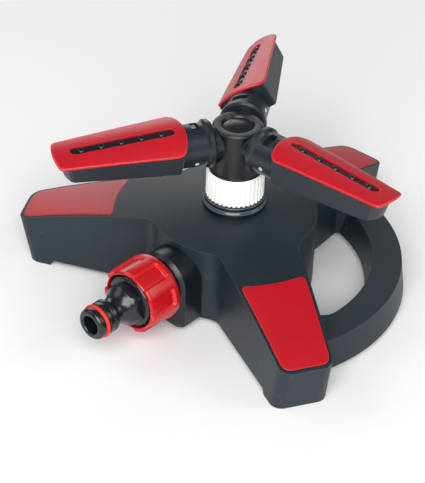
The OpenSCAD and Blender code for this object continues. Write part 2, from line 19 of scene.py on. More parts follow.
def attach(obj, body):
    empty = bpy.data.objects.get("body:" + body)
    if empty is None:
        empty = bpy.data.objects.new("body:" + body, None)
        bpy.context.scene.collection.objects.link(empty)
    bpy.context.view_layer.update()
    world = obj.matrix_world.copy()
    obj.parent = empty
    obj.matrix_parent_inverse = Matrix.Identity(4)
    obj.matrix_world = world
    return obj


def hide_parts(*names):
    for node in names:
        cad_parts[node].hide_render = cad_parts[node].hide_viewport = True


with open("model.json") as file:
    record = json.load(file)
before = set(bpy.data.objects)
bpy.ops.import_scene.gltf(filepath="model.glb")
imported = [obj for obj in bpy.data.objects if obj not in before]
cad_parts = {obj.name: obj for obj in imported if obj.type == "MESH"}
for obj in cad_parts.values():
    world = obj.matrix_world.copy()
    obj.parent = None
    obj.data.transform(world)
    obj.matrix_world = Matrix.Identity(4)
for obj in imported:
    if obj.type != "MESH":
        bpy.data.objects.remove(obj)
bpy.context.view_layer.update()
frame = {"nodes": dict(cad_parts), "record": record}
bodies = frame["record"]["behaviour"]["bodies"]
body_of = {node: body for body, nodes in bodies.items() for node in nodes}
MM = 0.001
print("pieces in the frame:", len(frame["nodes"]), "bodies:", len(bodies))

# %% [markdown]
# ## The camera
# A thing of this size is best seen from about 0.8 m through a long lens, so that the near leg doesn't look
# too big. The camera could be turned by eye in the viewport. Here it is placed by its heading and the angle
# of its height, as on a tripod, so that both can be read and changed. A tripod is never quite level, so
# there is also a small roll.

# %% Camera
CAMERA_PLACE = Vector((0.42230, -0.50466, 0.49371))
CAMERA_HEADING = math.radians(40.95)
CAMERA_HEIGHT_ANGLE = math.radians(35.73)
CAMERA_ROLL = math.radians(2.18)
SENSOR_WIDTH, LENS = 36, 117.216
LENS_SHIFT = (0.00675, 0.00304)


def camera_axes(heading, height_angle, roll):
    """Right, up and backward directions of a camera that looks at the object's axis."""
    back = Vector((math.sin(heading) * math.cos(height_angle),
                   -math.cos(heading) * math.cos(height_angle), math.sin(height_angle)))
    level = Vector((math.cos(heading), math.sin(heading), 0))
    upright = back.cross(level)
    right = level * math.cos(roll) + upright * math.sin(roll)
    return right, back.cross(right), back


camera_data = bpy.data.cameras.new("camera")
camera_data.sensor_width, camera_data.lens = SENSOR_WIDTH, LENS
camera_data.shift_x, camera_data.shift_y = LENS_SHIFT
camera_data.clip_start = 0.01
camera = bpy.data.objects.new("camera", camera_data)
bpy.context.scene.collection.objects.link(camera)
axes = Matrix(camera_axes(CAMERA_HEADING, CAMERA_HEIGHT_ANGLE, CAMERA_ROLL)).transposed()
camera.matrix_world = Matrix.Translation(CAMERA_PLACE) @ axes.to_4x4()
bpy.context.scene.camera = camera
print("camera", round(CAMERA_PLACE.length * 1000), "mm from the origin")

# %% [markdown]
# ## Floor and light
# The sprinkler stands on a plain pale floor. Dark plastic shows its shape by what it mirrors, so the light
# comes from large soft panels. A bright one in front opens up the side walls. Three weak ones stand on the
# left, on the right and low behind, and the one behind puts the pale sheen on surfaces that lean away.
# Point lights would be simpler, but they would only give hard dots.

# %% Floor
FLOOR_SIZE = 6.0
FLOOR_DROP = 0.0002
FLOOR_WHITE = (0.95, 0.95, 0.95, 1)


def plain_floor():
    bm = bmesh.new()
    bmesh.ops.create_grid(bm, x_segments=1, y_segments=1, size=FLOOR_SIZE / 2)
    mesh = bpy.data.meshes.new("floor")
    bm.to_mesh(mesh)
    bm.free()
    made = bpy.data.objects.new("floor", mesh)
    made.location.z = -FLOOR_DROP
    bpy.context.scene.collection.objects.link(made)
    paper = bpy.data.materials.new("floor_paper")
    paper.use_nodes = True
    sockets = paper.node_tree.nodes["Principled BSDF"].inputs
    sockets["Base Color"].default_value = FLOOR_WHITE
    sockets["Roughness"].default_value = 0.9
    sockets["Specular IOR Level"].default_value = 0.1
    mesh.materials.append(paper)


plain_floor()
print("floor", FLOOR_SIZE, "m square")

# %% Light panels
# name: place in metres, side in metres, power in watts
PANELS = {
    "front_panel": ((0.95, -1.3, 1.25), 1.6, 50),
    "left_panel": ((-1.4, -0.9, 1.5), 1.2, 6),
    "back_panel": ((-1.45, 1.2, 0.6), 1.2, 8),
    "right_panel": ((1.5, 0.8, 1.2), 1.0, 7),
}
WORLD_LIGHT = 0.2


def light_panel(name, place, size, power, aim=(0, 0, 0.04)):
    """A square soft box at place that faces aim."""
    data = bpy.data.lights.new(name, "AREA")
    data.shape = "SQUARE"
    data.size = size
    data.energy = power
    lamp = bpy.data.objects.new(name, data)
    lamp.location = place
    lamp.rotation_euler = (Vector(aim) - Vector(place)).to_track_quat("-Z", "Y").to_euler()
    bpy.context.scene.collection.objects.link(lamp)


for name, (place, size, power) in PANELS.items():
    light_panel(name, place, size, power)

world = bpy.data.worlds.new("studio")
world.use_nodes = True
world.node_tree.nodes["Background"].inputs["Color"].default_value = (1, 1, 1, 1)
world.node_tree.nodes["Background"].inputs["Strength"].default_value = WORLD_LIGHT
bpy.context.scene.world = world
bpy.context.scene.view_settings.view_transform = "Standard"
print("light panels", len(PANELS))

# %% [markdown]
# ## Writing finishes as sums
# A finish is a small calculation: a colour, plus a slow change of tone, plus fine grain. It could be wired
# by hand in the node editor, but that hides the calculation. So a finish's sockets are wrapped in a class
# that understands plus, minus and times, and one method makes any other node. The nodes are the same either
# way.

# %% Shader helpers


class Signal:
    """One output socket. Arithmetic on it adds Math nodes."""

    def __init__(self, finish, socket):
        self.finish = finish
        self.socket = socket

    def maths(self, operation, first, second):
        return self.finish.node("ShaderNodeMath", {"operation": operation}, {0: first, 1: second})

    def __add__(self, other):
        return self.maths("ADD", self, other)

    def __radd__(self, other):
        return self.maths("ADD", other, self)

    def __sub__(self, other):
        return self.maths("SUBTRACT", self, other)

    def __mul__(self, other):
        return self.maths("MULTIPLY", self, other)


class Finish:
    """A material around one Principled shader, with Object coordinates in metres as its place."""

    def __init__(self, name, **constants):
        self.material = bpy.data.materials.new(name)
        self.material.use_nodes = True
        self.tree = self.material.node_tree
        self.shader = self.tree.nodes["Principled BSDF"]
        for socket, value in constants.items():
            self.feed(socket.replace("_", " "), value)
        self.place = self.node("ShaderNodeTexCoord", out="Object")

    def node(self, kind, settings=None, sockets=None, out=0):
        made = self.tree.nodes.new(kind)
        for name, value in (settings or {}).items():
            setattr(made, name, value)
        for name, value in (sockets or {}).items():
            if isinstance(value, Signal):
                self.tree.links.new(value.socket, made.inputs[name])
            else:
                made.inputs[name].default_value = value
        return Signal(self, made.outputs[out])

    def feed(self, socket, value):
        if isinstance(value, Signal):
            self.tree.links.new(value.socket, self.shader.inputs[socket])
        else:
            self.shader.inputs[socket].default_value = value

    def noise(self, size_mm, detail=2.0, stretch=None):
        """Soft noise whose blobs are about size_mm across, from 0 to 1."""
        place = self.place
        if stretch:
            place = self.node("ShaderNodeMapping", {}, {"Vector": self.place, "Scale": stretch})
        return self.node("ShaderNodeTexNoise", {},
                         {"Vector": place, "Scale": 1000 / size_mm, "Detail": detail})

    def window(self, signal, low, high):
        """Goes from 0 where signal is low to 1 where it is high."""
        return self.node("ShaderNodeMapRange", {}, {"Value": signal, 1: low, 2: high})

    def mix(self, factor, first, second):
        return self.node("ShaderNodeMix", {"data_type": "RGBA"}, {0: factor, 6: first, 7: second}, out=2)

    def bump(self, height, depth_mm):
        return self.node("ShaderNodeBump", {},
                         {"Height": height, "Distance": depth_mm * MM, "Strength": 1.0})

    def mark(self, name):
        """1 on the faces that the mesh work marks with this name, 0 elsewhere."""
        return self.node("ShaderNodeAttribute", {"attribute_name": name}, out="Fac")


def shade(red, green, blue, light=1.0):
    """A colour from its three screen values, 0 to 255, with an optional brightness factor."""
    channels = [(c / 255) ** 2.2 * light for c in (red, green, blue)]
    return (*[min(1.0, c) for c in channels], 1.0)


print("shader helpers ready")

# %% [markdown]
# ## Moulded plastic
# Nearly everything here is injection moulded. Two things tell the eye so: the tone drifts slowly where the
# melt flowed, and the mould's spark-eroded grain breaks up the gloss. The rounded edges are a little
# smoother,
# and they are painted a little lighter: a painted highlight for the thin line of light that a round catches.
# Each plastic could have its own nodes. Instead one function makes them all, because they differ only in
# amounts, and marks on the mesh say where the rounded edges and the polished parts are.

# %% Plastics
FLOW_MM, MOTTLE_MM, SCRATCH_MM, PATCH_MM = 38, 3.2, 1.6, 16
POLISHED_TONE = (0.006, 0.008, 0.010, 1)


def plastic(name, colour, highlight_and_scratch_colour, roughness, grain_mm, grain_depth, drift=0.12, scuff=0.0, **constants):
    made = Finish(name, **constants)
    flow = made.noise(FLOW_MM, 3)
    mottle = made.noise(MOTTLE_MM, 2)
    grain = made.noise(grain_mm, 3)
    edge = made.mark("rounded_edge")
    darker = tuple(c * (1 - drift) for c in colour[:3]) + (1,)
    lighter = tuple(min(1, c * (1 + drift)) for c in colour[:3]) + (1,)
    tone = made.mix(made.window(flow * 0.75 + mottle * 0.25, 0.32, 0.68), darker, lighter)
    if scuff:
        scratch = made.window(made.noise(SCRATCH_MM, 2, stretch=(0.06, 1.0, 0.5)), 0.66, 0.72)
        patch = made.window(made.noise(PATCH_MM, 2), 0.52, 0.66)
        tone = made.mix(scratch * patch * scuff, tone, highlight_and_scratch_colour)
    polished = made.mark("polished_part")
    tone = made.mix(polished * 0.2, tone, POLISHED_TONE)
    # The marked rounded edges are mixed towards the lighter second colour: a painted highlight on the
    # rounds.
    made.feed("Base Color", made.mix(edge * 0.8, tone, highlight_and_scratch_colour))
    made.feed("Roughness", roughness + (mottle - 0.5) * 0.10 + (grain - 0.5) * 0.08
              - edge * 0.08 - polished * 0.08)
    made.feed("Normal", made.bump(grain, grain_depth))
    return made.material


# The second colour of each plastic is the painted highlight of its rounded edges, and also the colour of its
# scratches.
ANTHRACITE = plastic("anthracite_grained", shade(33, 43, 50), shade(112, 126, 136), 0.47, 0.45, 0.020,
                     scuff=0.20, Specular_IOR_Level=0.44)
DARK = plastic("arm_anthracite", shade(34, 42, 49), shade(80, 92, 100), 0.42, 0.6, 0.014, scuff=0.12,
               Specular_IOR_Level=0.5)
BLACK = plastic("polished_black", shade(23, 28, 32), shade(64, 72, 78), 0.31, 0.8, 0.002, drift=0.08,
                Specular_IOR_Level=0.55)
RED = plastic("red_satin", shade(180, 22, 36), shade(204, 48, 52), 0.36, 0.5, 0.009, drift=0.07,
              scuff=0.10, Specular_IOR_Level=0.5)
NUT_RED = plastic("nut_red", shade(184, 20, 30), shade(212, 46, 48), 0.26, 0.9, 0.006, drift=0.06,
                  Specular_IOR_Level=0.55)
WHITE = plastic("ring_white", shade(253, 252, 246), shade(254, 253, 250), 0.40, 0.6, 0.006, drift=0.03,
                Specular_IOR_Level=0.45)
NATURAL = plastic("natural_nylon", shade(216, 208, 182), shade(232, 226, 206), 0.45, 0.7, 0.008)
POLISHED = plastic("nipple_polished", shade(24, 29, 34), shade(80, 88, 94), 0.22, 1.2, 0.001, drift=0.08,
                   Specular_IOR_Level=0.6)
PLASTICS = (ANTHRACITE, DARK, BLACK, RED, NUT_RED, WHITE, NATURAL, POLISHED)
print("plastics:", ", ".join(material.name for material in PLASTICS))

# %% [markdown]
# ## Rubber and steel
# Rubber seals are dull, with a fine cloudy bloom on the surface. The screws are drawn steel: their marks
# run one way, so the noise is stretched along one direction instead of being even. The small pins of the
# arms are zinc plated, which looks like a pale, slightly metallic plastic, so they use the plastic's
# function.

# %% Rubber and steel


def rubber(name, colour, bloom_colour):
    made = Finish(name, Specular_IOR_Level=0.35)
    bloom = made.window(made.noise(2.4, 4), 0.42, 0.75)
    skin = made.noise(0.25, 3)
    made.feed("Base Color", made.mix(bloom * 0.35, colour, bloom_colour))
    made.feed("Roughness", 0.55 + bloom * 0.15)
    made.feed("Normal", made.bump(skin, 0.012))
    return made.material


def drawn_steel(name):
    made = Finish(name, Metallic=1.0)
    lines = made.noise(0.5, 4, stretch=(1.0, 1.0, 0.08))
    made.feed("Base Color", made.mix(lines, shade(172, 174, 176), shade(222, 223, 224)))
    made.feed("Roughness", 0.24 + lines * 0.14)
    made.feed("Normal", made.bump(lines, 0.006))
    return made.material


RUBBER = rubber("black_rubber", shade(26, 26, 27), shade(52, 52, 53))
RING_RED = rubber("seal_red", shade(222, 52, 34), shade(232, 92, 70))
STEEL = drawn_steel("drawn_steel")
ZINC = plastic("zinc_pin", shade(232, 235, 238), shade(240, 242, 244), 0.4, 0.5, 0.002, drift=0.03,
               Metallic=0.3)
print("others:", RUBBER.name, RING_RED.name, STEEL.name, ZINC.name)

# %% [markdown]
# ## Soft edges
# No moulding has a knife edge: the mould's own corners are rounded, and the round catches a thin line of
# light. The exact frame has sharp corners. A piece with few, well-shaped faces can be rounded as a copy of
# its frame mesh: the doubled points are merged, flat areas become single faces, and then the edges that are
# sharper than a chosen angle are bevelled. A bevel modifier would do the same, but the operator also
# returns the new narrow faces. They are marked, and the finishes paint the marked faces lighter: a painted
# highlight that adds to the line of light on the round.

# %% Soft edge helpers
SHARP = math.radians(32)
SHADED_SHARP = math.radians(50)


def nearest_tree(nodes):
    """A search tree over the meshes of some frame nodes."""
    bm = bmesh.new()
    for node in nodes:
        bm.from_mesh(frame["nodes"][node].data)
    tree = BVHTree.FromBMesh(bm)
    bm.free()
    return tree


def touches(tree, point, distance):
    return tree is not None and tree.find_nearest(point, distance)[0] is not None


def clean_copy(node):
    """The frame node's mesh as a bmesh with merged points and flat areas as single faces."""
    bm = bmesh.new()
    bm.from_mesh(frame["nodes"][node].data)
    bmesh.ops.remove_doubles(bm, verts=bm.verts[:], dist=0.002 * MM)
    bmesh.ops.dissolve_limit(bm, angle_limit=math.radians(0.15), use_dissolve_boundaries=False,
                             verts=bm.verts[:], edges=bm.edges[:], delimit=set())
    return bm


def round_edges(bm, width_mm, segments, chosen):
    """Bevels the sharp edges that chosen accepts, and marks the new faces."""
    mark = bm.faces.layers.float.get("rounded_edge") or bm.faces.layers.float.new("rounded_edge")
    sharp = [e for e in bm.edges if len(e.link_faces) == 2 and e.calc_face_angle(0) > SHARP and chosen(e)]
    if not sharp:
        return 0
    made = bmesh.ops.bevel(bm, geom=sharp, offset=width_mm * MM, offset_type="OFFSET", segments=segments,
                           affect="EDGES", profile=0.5, material=-1, clamp_overlap=True)
    # The marked faces are painted lighter by the finishes: a painted highlight.
    for face in made["faces"]:
        face[mark] = 1.0
    return len(sharp)


def finished_piece(bm, name, material, body, nodes):
    """Turns a bmesh into a shown piece that rides on a body and stands for the given frame nodes."""
    mesh = bpy.data.meshes.new(name)
    for face in bm.faces:
        face.smooth = True
    for edge in bm.edges:
        edge.smooth = len(edge.link_faces) == 2 and edge.calc_face_angle(0) < SHADED_SHARP
    bm.to_mesh(mesh)
    bm.free()
    mesh.materials.append(material)
    piece = bpy.data.objects.new(name, mesh)
    bpy.context.scene.collection.objects.link(piece)
    even = piece.modifiers.new("even_shading", "WEIGHTED_NORMAL")
    even.keep_sharp = True
    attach(piece, body)
    if nodes:
        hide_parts(*nodes)
    return piece


def soften(node, material, width_mm, segments=3, away_from=(), gap_mm=0.5, polished=None):
    """The softened moulding that stands for one frame node. Edges near away_from stay sharp."""
    tree = nearest_tree(away_from) if away_from else None

    def chosen(edge):
        middle = (edge.verts[0].co + edge.verts[1].co) / 2
        return not touches(tree, middle, gap_mm * MM)

    bm = clean_copy(node)
    count = round_edges(bm, width_mm, segments, chosen)
    if polished:
        mark = bm.faces.layers.float.new("polished_part")
        for face in bm.faces:
            face[mark] = 1.0 if polished(face.calc_center_median()) else 0.0
    piece = finished_piece(bm, node + "_moulding", material, body_of[node], [node])
    print(node, "edges rounded:", count, "faces:", len(piece.data.polygons))
    return piece


print("edges count as sharp from", round(math.degrees(SHARP)), "degrees")

# %% [markdown]
# ## Skins
# The frame's large mouldings have long thin triangles, and a bevel stops at the shortest edge it meets.
# Those pieces are drawn anew as skins. A skin runs through a row of closed loops that all have the same
# number of points, like the hoops of a barrel, and so its faces are even and round well. It could be
# modelled by hand from a cylinder. Loops made from a rule are exact, and one rule can serve a whole family
# of shapes. Shapes that are round about an axis are spun instead, like clay on a wheel.

# %% Skin helpers


def skin(loops, filled=False, closed=False):
    """A sheet through a list of loops with equal point counts, drawn first as flat rings and then shaped."""
    count = len(loops[0])
    bm = bmesh.new()
    bmesh.ops.create_circle(bm, cap_ends=filled, segments=count, radius=1.0)
    first = bm.edges[:]
    edges = first
    for ring in range(1, len(loops)):
        made = bmesh.ops.extrude_edge_only(bm, edges=edges)["geom"]
        edges = [e for e in made if isinstance(e, bmesh.types.BMEdge)]
        for vert in [v for v in made if isinstance(v, bmesh.types.BMVert)]:
            vert.co *= (ring + 1) / ring
    if closed:
        bmesh.ops.bridge_loops(bm, edges=first + edges)
    for vert in bm.verts:
        point = round(math.atan2(vert.co.y, vert.co.x) / math.tau * count) % count
        vert.co = Vector(loops[round(vert.co.length) - 1][point]) * MM
    bmesh.ops.recalc_face_normals(bm, faces=bm.faces[:])
    return bm


def blend(first, last, steps):
    """Loops at equal steps from the first loop to the last, both included."""
    return [[Vector(a).lerp(Vector(b), step / steps) for a, b in zip(first, last)]
            for step in range(steps + 1)]


def thicken(bm, thick_mm):
    """Turns a sheet that faces up into a closed shell by adding thickness below it."""
    if sum(face.normal.z * face.calc_area() for face in bm.faces) < 0:
        bmesh.ops.reverse_faces(bm, faces=bm.faces[:])
    bmesh.ops.solidify(bm, geom=bm.faces[:], thickness=thick_mm * MM)
    bmesh.ops.recalc_face_normals(bm, faces=bm.faces[:])


def along(path, count):
    """Points at count equal steps along a path, without its last point."""
    lengths = [0.0]
    for first, second in zip(path, path[1:]):
        lengths.append(lengths[-1] + (Vector(second) - Vector(first)).length)
    made = []
    for step in range(count):
        want = lengths[-1] * step / count
        place = next(i for i in range(1, len(lengths)) if lengths[i] > want) - 1
        share = (want - lengths[place]) / (lengths[place + 1] - lengths[place])
        made.append(Vector(path[place]).lerp(Vector(path[place + 1]), share))
    return made


def curve(first, corner, last):
    """A rounded corner from first to last."""
    steps = [t / 8 for t in range(9)]
    return [tuple(a * (1 - u) ** 2 + c * 2 * u * (1 - u) + b * u * u for a, c, b in zip(first, corner, last))
            for u in steps]


def turned_solid(bm, profile, steps, middle=(0, 0, 0)):
    """Spins a closed outline of (radius, height) pairs in mm round the Z axis through middle."""
    place = Vector(middle) * MM
    line = [bm.verts.new(place + Vector((r * MM, 0, z * MM))) for r, z in profile]
    edges = [bm.edges.new(pair) for pair in zip(line, line[1:] + line[:1])]
    bmesh.ops.spin(bm, geom=line + edges, cent=place, axis=(0, 0, 1), angle=math.tau, steps=steps,
                   use_merge=True)
    return bm


print("a rounded corner has", len(curve((0, 0), (1, 0), (1, 1))), "points")

# %% [markdown]
# ## The base
# The base is one large moulding: a round crowned middle and three legs that narrow outwards. Its outline
# could be drawn as a curve and extruded. But its top is a low crown and the walls lean inwards, so the same
# outline is wanted twice, at the top edge with the crown's heights and smaller at the lower edge. One
# function gives both, made from one half leg that is mirrored and turned three times.

# %% Base outline
LEGS = {"left": 210, "front": 330, "back": 90}  # direction of each leg in degrees
REACH, LEG_HALF, LEG_FROM, TAPER, LEG_CORNER = 111.0, 18.0, 60, 0.098, 6.0  # mm, as all shapes below
LEAN, LEG_TOP, SKIRT, FOOT = 6.2, 25.4, 3.0, 92.0
MIDDLE_RADIUS, FILLET, WALL = 42.5, 8.0, 2.4
CROWN_RADIUS, CROWN_OUT, CROWN_UP = 443.3, -33.3, -393.7
HOLE = 12.3


def crown(radius):
    """Height of the base's top at a distance from the middle."""
    return CROWN_UP + math.sqrt(CROWN_RADIUS ** 2 - (radius - CROWN_OUT) ** 2)


def leg_width(s):
    return LEG_HALF - TAPER * (s - LEG_FROM)


def arc(x, y, radius, start, end, count):
    """Points on an arc, without its end point."""
    angles = [start + (end - start) * t / count for t in range(count)]
    return [(x + radius * math.cos(a), y + radius * math.sin(a)) for a in angles]


def round_middle(radius, big):
    """Middle of a round beside a leg, at a distance big from the base's middle: along the leg, across it."""
    q = LEG_HALF + LEG_FROM * TAPER + radius / math.cos(math.atan(TAPER))
    a, b = 1 + TAPER ** 2, -2 * TAPER * q
    s = (-b + math.sqrt(b * b - 4 * a * (q * q - big * big))) / (2 * a)
    return s, q - TAPER * s


def half_leg(reach):
    """Outline from the middle of a leg's end round to the side of the base's round middle."""
    slant = math.atan(TAPER)
    cx = reach - LEG_CORNER
    cy = leg_width(cx) - LEG_CORNER / math.cos(slant)
    s, w = round_middle(FILLET, MIDDLE_RADIUS + FILLET)
    turn = math.atan2(w, s)
    corner = arc(cx, cy, LEG_CORNER, 0, math.pi / 2 - slant, 9)
    side_start = (cx + LEG_CORNER * math.sin(slant), cy + LEG_CORNER * math.cos(slant))
    side_end = (s - FILLET * math.sin(slant), w - FILLET * math.cos(slant))
    return (along([(reach, 0), (reach, cy)], 6) + corner + along([side_start, side_end], 36)
            + arc(s, w, FILLET, 1.5 * math.pi - slant, math.pi + turn, 9)
            + arc(0, 0, MIDDLE_RADIUS, turn, math.pi / 3, 14)
            + [(MIDDLE_RADIUS / 2, MIDDLE_RADIUS * math.sin(math.pi / 3))])


def base_loop(low):
    """The whole outline at the top edge, or at the lower edge with its heights."""
    made = []
    for turn in LEGS.values():
        half = [tuple(p) for p in half_leg(REACH - LEAN * (1 - SKIRT / LEG_TOP) if low else REACH)]
        whole = [(x, -y) for x, y in half[:0:-1]] + half[:-1]
        for x, y in whole:
            height = (0.0 if x > FOOT else SKIRT) if low else crown(math.hypot(x, y))
            made.append(Matrix.Rotation(math.radians(turn), 3, "Z") @ Vector((x, y, height)))
    return made


print("points in the base outline:", len(base_loop(False)))

# %% [markdown]
# ## The base moulding
# The top is drawn in rings from the riser hole outwards, with the crown's height at every point, and the
# walls go on from the outline down to the feet. The sheet is then given the wall thickness of a moulding,
# and the outer edges are rounded by about half a millimetre. Four posts stand under it for the screws of
# the water elbow.

# %% Base moulding
TOP_RINGS, RING_EASE = 12, 0.9
BASE_ROUND, ROUND_FROM = 0.55, 20
POST_OUT, POST_TURNS = 24, (45, 135, 225, 315)
POST = [(1.35, 30), (3.2, 30), (3.4, 30.2), (3.4, 44.5), (1.35, 44.5)]


def base_moulding():
    """The crowned top, drawn in rings from the riser hole outwards, and the walls below it."""
    top, low = base_loop(False), base_loop(True)
    rings = []
    for step in range(TOP_RINGS):
        share = (step / TOP_RINGS) ** RING_EASE
        ring = []
        for point in top:
            out = math.hypot(point.x, point.y)
            radius = HOLE + (out - HOLE) * share
            ring.append(Vector((point.x / out * radius, point.y / out * radius, crown(radius))))
        rings.append(ring)
    bm = skin(rings + blend(top, low, 3))
    thicken(bm, WALL)
    count = round_edges(bm, BASE_ROUND, 3,
                        lambda e: e.is_convex and e.verts[0].co.xy.length > ROUND_FROM * MM)
    for turn in POST_TURNS:
        place = (POST_OUT * math.cos(math.radians(turn)), POST_OUT * math.sin(math.radians(turn)), 0)
        turned_solid(bm, POST, 32, place)
    bmesh.ops.recalc_face_normals(bm, faces=bm.faces[:])
    print("base edges rounded:", count)
    finished_piece(bm, "base_moulding", ANTHRACITE, body_of["base_shell"], ["base_shell"])


base_moulding()

# %% [markdown]
# ## The inlet boss
# The threaded inlet comes out through a short arch in front of the base: round above, straight below. It
# could be cut out of a block with a boolean. A skin is cleaner here, because it goes once round the ring:
# through the tunnel, over the face and back along the outside, and its last loop is joined to its first.

# %% Inlet boss
BOSS_HALF, INLET_HEIGHT, TUNNEL = 15.2, 24.9, 13.4
BOSS_POINTS, BOSS_ROUND = 120, 0.35
# distance out, distance inward, and whether the loop belongs to the round tunnel
BOSS_LOOPS = [(38, 0, True), (53.5, 0, True), (54, 0.5, True), (54, 2.3, False), (51.7, 0, False),
              (38, 0, False)]


def boss_loop(out, inward, round_hole):
    """The arch around the hose inlet at a distance out, or its tunnel."""
    made = []
    for step in range(BOSS_POINTS):
        turn = math.tau * step / BOSS_POINTS
        side, up = math.cos(turn), math.sin(turn)
        radius = BOSS_HALF - inward
        if round_hole:
            radius = TUNNEL + inward
        elif up < 0:
            radius = min(radius / max(abs(side), 1e-6), (INLET_HEIGHT - SKIRT - inward * 0.2) / abs(up))
        made.append((radius * side, -out, INLET_HEIGHT + radius * up))
    return made


boss = skin([boss_loop(*loop) for loop in BOSS_LOOPS], closed=True)
print("inlet boss edges rounded:", round_edges(boss, BOSS_ROUND, 2, lambda e: True))
finished_piece(boss, "inlet_boss", BLACK, body_of["base_shell"], [])

# %% [markdown]
# ## The red plates
# A red plate is set into the top of each leg. Its outline follows the leg at an even distance and its
# surface follows the crown. It could be cut from a copy of the base's top. Here its outline is drawn once
# and shrunk towards its middle in a few loops, and the crown gives every point its height. A second,
# thinner plate in black lies under it and is a little wider. It leaves a dark line all round the red plate:
# a painted shadow of the pocket's gap, as no pocket is cut into the base.

# %% Red plates
PLATE_IN, PLATE_OUT, BORDER, PLATE_MIDDLE = 61.1, 109.2, 1.5, 85
PLATE_LOOPS = [k / 8 for k in (0.4, 2, 4, 6, 7, 8)]
PLATE_CORNER = 5


def plate_loop(inward, lift, share):
    """A plate's outline, from its inner arc round to its end, shrunk towards its middle by share."""
    near, far = PLATE_IN + inward, PLATE_OUT - inward

    def wide(s):
        return leg_width(s) - BORDER - inward

    w0 = wide(near - 2)
    s0 = math.sqrt(near ** 2 - w0 ** 2)
    a0 = math.atan2(w0, s0) - math.radians(3.2)
    start, end = (s0 + 4, wide(s0 + 4)), (far - PLATE_CORNER, wide(far - PLATE_CORNER))
    first = curve((near * math.cos(a0), near * math.sin(a0)), (s0, w0), start)
    last = curve(end, (far, wide(far)), (far, wide(far) - PLATE_CORNER))
    half = (arc(0, 0, near, 0, a0, 10) + along(first, 8) + along([start, end], 24) + along(last, 8)
            + along([last[-1], (far, 0)], 6) + [(far, 0)])
    half = [tuple(point) for point in half]
    made = []
    for x, y in half[:-1] + [(x, -y) for x, y in half[:0:-1]]:
        x, y = PLATE_MIDDLE + (x - PLATE_MIDDLE) * share, y * share
        made.append((x, y, crown(math.hypot(x, y)) + lift))
    return made


def plate(node, name, turn, place, rounded, material, replaced):
    """A plate on a leg. place is inward, lift and thickness, and rounded is width and segments."""
    inward, lift, thick = place
    bm = skin([plate_loop(inward, lift, share) for share in PLATE_LOOPS], filled=True)
    thicken(bm, thick)
    round_edges(bm, *rounded, lambda e: True)
    bm.transform(Matrix.Rotation(math.radians(turn), 4, "Z"))
    finished_piece(bm, name, material, body_of[node], replaced)


for side, turn in LEGS.items():
    node = "leg_badge_" + side
    plate(node, node + "_plate", turn, (0.0, 0.3, 1.3), (0.35, 3), RED, [node])
    # A black sheet a little wider than the plate, just above the crown: the painted shadow of the pocket's
    # gap.
    plate(node, node + "_gap_shadow", turn, (-0.4, 0.03, 0.5), (0.02, 1), BLACK, [])
print("plates set into the legs:", len(LEGS))

# %% [markdown]
# ## The carrying handle
# The handle is a hollow ring between two legs. It is a copy of the frame's piece with rounded long edges.
# Where it meets the legs its edges stay sharp, because a round there would open a gap in what is one
# moulding on the real object. At the front leg the two walls meet in a large round, so that a hand doesn't
# catch in a corner. That round is a small block with a curved side, drawn flat and extruded upwards.

# %% Carrying handle
soften("carry_handle", ANTHRACITE, 1.0, 3, away_from=["base_shell"], gap_mm=0.4)

HANDLE_IN, HANDLE_TOP, GUSSET = 72.6, 18.45, 9.0


def gusset_points():
    """The outline between a leg's side, the handle's inner wall and the round that joins them."""
    slant = math.atan(TAPER)
    s, w = round_middle(GUSSET, HANDLE_IN - 0.4 - GUSSET)
    round_side = arc(s, w, GUSSET, math.atan2(w, s), -math.pi / 2 - slant, 12)
    end = (s - GUSSET * math.sin(slant), w - GUSSET * math.cos(slant))
    return round_side + [end, (end[0], end[1] - 0.6), (HANDLE_IN + 1.2, leg_width(HANDLE_IN + 1.2) - 0.6)]


outline = gusset_points()
gusset = skin([[(x, y, SKIRT + 0.2) for x, y in outline]], filled=True)
made = bmesh.ops.extrude_face_region(gusset, geom=gusset.faces[:])["geom"]
for vert in [v for v in made if isinstance(v, bmesh.types.BMVert)]:
    vert.co.z = HANDLE_TOP * MM
bmesh.ops.recalc_face_normals(gusset, faces=gusset.faces[:])
gusset.transform(Matrix.Rotation(math.radians(LEGS["front"]), 4, "Z"))
finished_piece(gusset, "handle_gusset", ANTHRACITE, body_of["carry_handle"], [])
print("gusset points:", len(outline))

# %% [markdown]
# ## The hub, its lid and its cap
# The hub is a black column with three pipe stubs, and it carries the arms. Its frame piece rounds well as a
# copy. The rim on top and the domed cap could be copies too, but their many small faces would keep the
# bevel tiny. Both are round, so they are spun from an outline, with the rounds already drawn in it. The
# real cap has three small dimples. Cutting them would need a boolean, so three tiny raised spots stand in
# for them.

# %% Hub, lid and cap
soften("rotor_hub", BLACK, 0.4, 3)

HUB_LID = [(7.75, 90.2), (7.75, 91.5), (7.95, 91.95), (8.4, 92.4), (9.1, 92.7), (9.6, 92.77), (11.6, 92.77),
           (11.85, 92.7), (11.95, 92.55), (11.95, 90.2)]
lid = bmesh.new()
turned_solid(lid, HUB_LID, 96)
bmesh.ops.recalc_face_normals(lid, faces=lid.faces[:])
finished_piece(lid, "hub_lid", BLACK, body_of["rotor_hub"], [])

